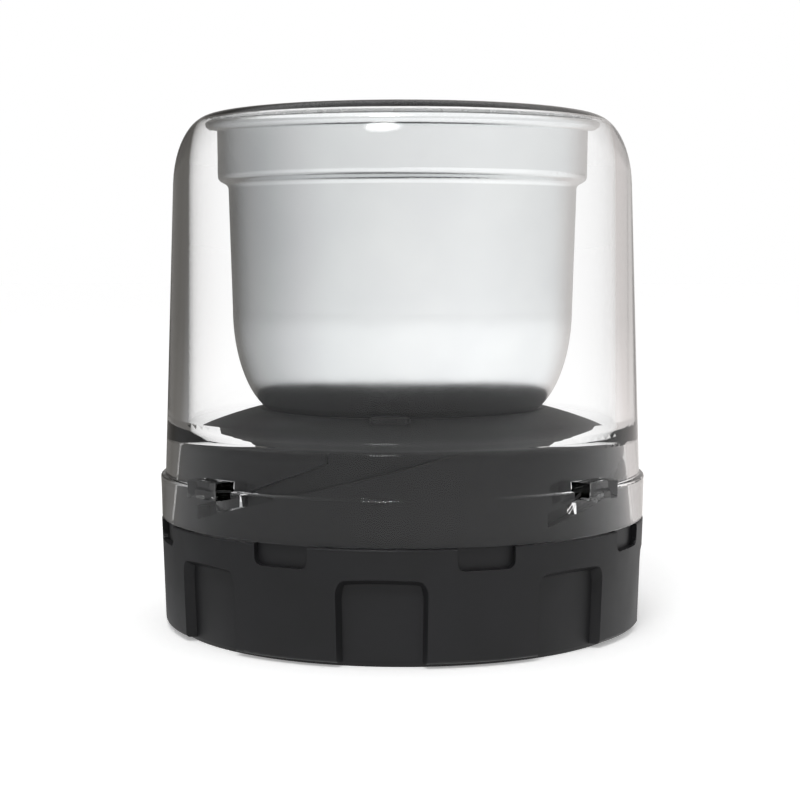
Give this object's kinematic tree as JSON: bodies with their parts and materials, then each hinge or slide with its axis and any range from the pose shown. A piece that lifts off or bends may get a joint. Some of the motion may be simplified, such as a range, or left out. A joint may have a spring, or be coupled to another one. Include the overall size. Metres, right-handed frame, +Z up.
{
  "type": "coffee and spice grinder head",
  "caption": "Blade grinder head for a blender motor base: clear screw-on cover over a satin steel bowl, threaded black collar and black base with grip recesses and a drive coupling.",
  "frame": {"origin": "centre of the footprint on the surface that the base stands on", "axes": "+Z up along the spindle, -Y towards the viewer of the picture, +X to the right"},
  "size_m": [0.1122, 0.1122, 0.1163],
  "materials": {
    "black_abs": "fine-textured moulded ABS",
    "black_plate": "moulded ABS",
    "black_collar": "satin moulded ABS",
    "black_acetal": "turned acetal",
    "black_coupling": "moulded glass-filled nylon",
    "satin_steel": "bead-blasted stainless steel",
    "plain_steel": "turned stainless steel",
    "blade_steel": "pressed and ground stainless steel",
    "spring_steel": "blackened spring steel",
    "zinc_screw": "zinc-plated steel",
    "bronze": "sintered bronze",
    "black_rubber": "nitrile rubber",
    "silicone_grey": "silicone",
    "clear_silicone": "translucent silicone",
    "white_nylon": "nylon",
    "clear_cover": "polished clear copolyester"
  },
  "bodies": {
    "base": {"base_housing": "black_abs", "bottom_plate": "black_plate", "bottom_plate_screws": "zinc_screw", "collar_screws": "zinc_screw", "threaded_collar": "black_collar", "bowl": "satin_steel", "bowl_gasket": "silicone_grey", "bearing_housing": "black_acetal", "bowl_nut_washer": "plain_steel", "bowl_nut": "plain_steel", "upper_bush": "bronze", "lower_bush": "bronze", "shaft_seal": "black_rubber"},
    "rotor": {"spindle": "plain_steel", "thrust_washers": "white_nylon", "retaining_ring": "spring_steel", "lower_blade": "blade_steel", "upper_blade": "blade_steel", "blade_spacer": "plain_steel", "blade_washer": "plain_steel", "blade_nut": "plain_steel", "drive_coupling": "black_coupling", "coupling_screw": "zinc_screw"},
    "cover_seal": {"lid_seal": "clear_silicone"},
    "cover": {"cover": "clear_cover"}
  },
  "joints": [
    {"name": "rotor_spin", "type": "hinge", "parent": "base", "child": "rotor", "pos_m": [0, 0, 0.06], "axis": [0, 0, 1], "continuous": true},
    {"name": "cover_rise", "type": "slide", "parent": "base", "child": "cover_seal", "axis": [0, 0, 1], "range_m": [0, 0.10007]},
    {"name": "cover_turn", "type": "hinge", "parent": "cover_seal", "child": "cover", "pos_m": [0, 0, 0.06], "axis": [0, 0, 1], "range_deg": [0, 425]}
  ],
  "couplings": [
    {"joint": "cover_rise", "follows": "cover_turn", "m_per_rad": 0.013465}
  ]
}
